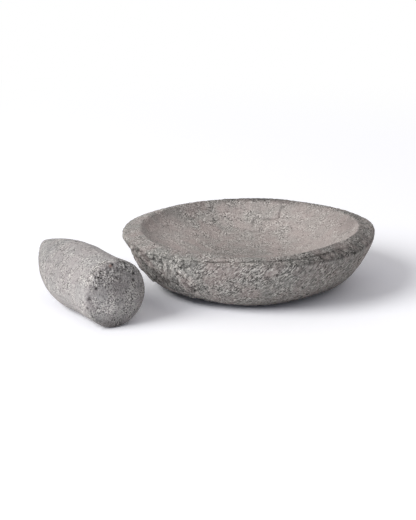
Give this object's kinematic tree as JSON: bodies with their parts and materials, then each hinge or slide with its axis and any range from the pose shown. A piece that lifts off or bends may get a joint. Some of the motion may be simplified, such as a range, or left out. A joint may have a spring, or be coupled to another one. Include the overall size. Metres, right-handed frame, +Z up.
{
  "type": "mortar and pestle",
  "caption": "Shallow round carved stone dish mortar with a sloping lip, and a short separate stone pestle with a domed grinding face and a narrowing nose.",
  "frame": {"origin": "centre of the flat under the mortar's foot, on the floor", "axes": "+Z up along the mortar's axis; +Y away from the side that the mortar is seen from, with the pestle lying to the -X side of the mortar"},
  "size_m": [0.2631, 0.2265, 0.0505],
  "materials": {
    "mortar_stone": "chiselled",
    "pestle_stone": "rubbed smooth"
  },
  "bodies": {
    "mortar": {"mortar_bowl": "mortar_stone"},
    "pestle": {"pestle": "pestle_stone"}
  },
  "joints": [
    {"name": "pestle_lift", "type": "slide", "parent": "mortar", "child": "pestle", "axis": [0, 0, 1], "range_m": [0, 0.12]}
  ]
}
